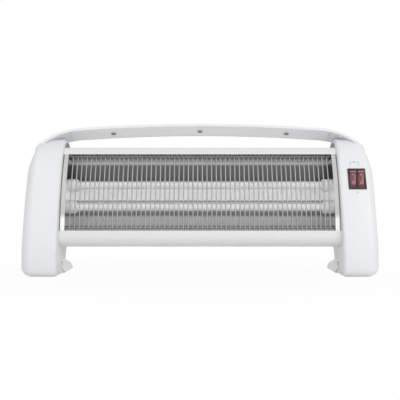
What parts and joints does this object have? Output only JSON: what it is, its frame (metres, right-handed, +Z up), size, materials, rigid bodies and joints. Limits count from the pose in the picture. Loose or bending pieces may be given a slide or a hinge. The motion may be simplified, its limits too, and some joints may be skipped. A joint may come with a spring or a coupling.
{
  "type": "electric bar heater",
  "caption": "Electric bar heater with quartz tubes in a polished reflector behind a wire guard, held between moulded side housings under an arched carrying handle.",
  "frame": {"origin": "floor level, under the centre of the outline seen from above", "axes": "+X across the heater to the switch side, +Y from the wire guard to the back, +Z up"},
  "size_m": [0.493, 0.134, 0.2165],
  "materials": {
    "shell_plastic": "satin",
    "cover_plastic": "satin",
    "screw_steel": "satin",
    "post_plastic": "matte",
    "handle_plastic": "satin",
    "grip_plastic": "matte",
    "rail_paint": "satin",
    "strip_paint": "gloss",
    "panel_paint": "satin",
    "reflector_metal": "polished",
    "guard_wire": "bright",
    "quartz": "milky",
    "coil_wire": "dull",
    "ceramic_grey": "matte",
    "bracket_steel": "satin",
    "switch_black": "satin",
    "rocker_red": "translucent",
    "foot_plastic": "satin",
    "gland_rubber": "matte",
    "cutout_black": "satin",
    "plunger_plastic": "satin"
  },
  "bodies": {
    "heater": {"side_shell_left": "shell_plastic", "side_shell_right": "shell_plastic", "inner_cover_left": "cover_plastic", "inner_cover_right": "cover_plastic", "cover_screws_left": "screw_steel", "cover_screws_right": "screw_steel", "cover_posts_left": "post_plastic", "cover_posts_right": "post_plastic", "handle_top": "handle_plastic", "handle_grip": "grip_plastic", "handle_screws": "screw_steel", "top_rail": "rail_paint", "bottom_rail": "rail_paint", "side_strip_left": "strip_paint", "side_strip_right": "strip_paint", "back_panel": "panel_paint", "reflector": "reflector_metal", "reflector_end_left": "reflector_metal", "reflector_end_right": "reflector_metal", "grille": "guard_wire", "quartz_tube_upper": "quartz", "quartz_tube_lower": "quartz", "heating_coil_upper": "coil_wire", "heating_coil_lower": "coil_wire", "ceramic_cap_upper_left": "ceramic_grey", "ceramic_cap_upper_right": "ceramic_grey", "ceramic_cap_lower_left": "ceramic_grey", "ceramic_cap_lower_right": "ceramic_grey", "element_bracket_left": "bracket_steel", "element_bracket_right": "bracket_steel", "switch_housing": "switch_black", "foot_left": "foot_plastic", "foot_right": "foot_plastic", "cord_gland": "gland_rubber", "terminal_block": "post_plastic", "thermal_cutout": "cutout_black", "tip_switch": "post_plastic"},
    "rocker_1": {"rocker_1": "rocker_red"},
    "rocker_2": {"rocker_2": "rocker_red"},
    "tip_plunger": {"tip_plunger": "plunger_plastic"}
  },
  "joints": [
    {"name": "rocker_1_tilt", "type": "hinge", "parent": "heater", "child": "rocker_1", "pos_m": [0.21495, -0.02964, 0.13315], "axis": [-1, 0, 0], "range_deg": [0, 18]},
    {"name": "rocker_2_tilt", "type": "hinge", "parent": "heater", "child": "rocker_2", "pos_m": [0.22645, -0.02964, 0.13315], "axis": [-1, 0, 0], "range_deg": [0, 18]},
    {"name": "plunger_slide", "type": "slide", "parent": "heater", "child": "tip_plunger", "axis": [0, 0, -1], "range_m": [0, 0.003], "stiffness_N_per_m": 100, "springref_m": 0.008}
  ]
}
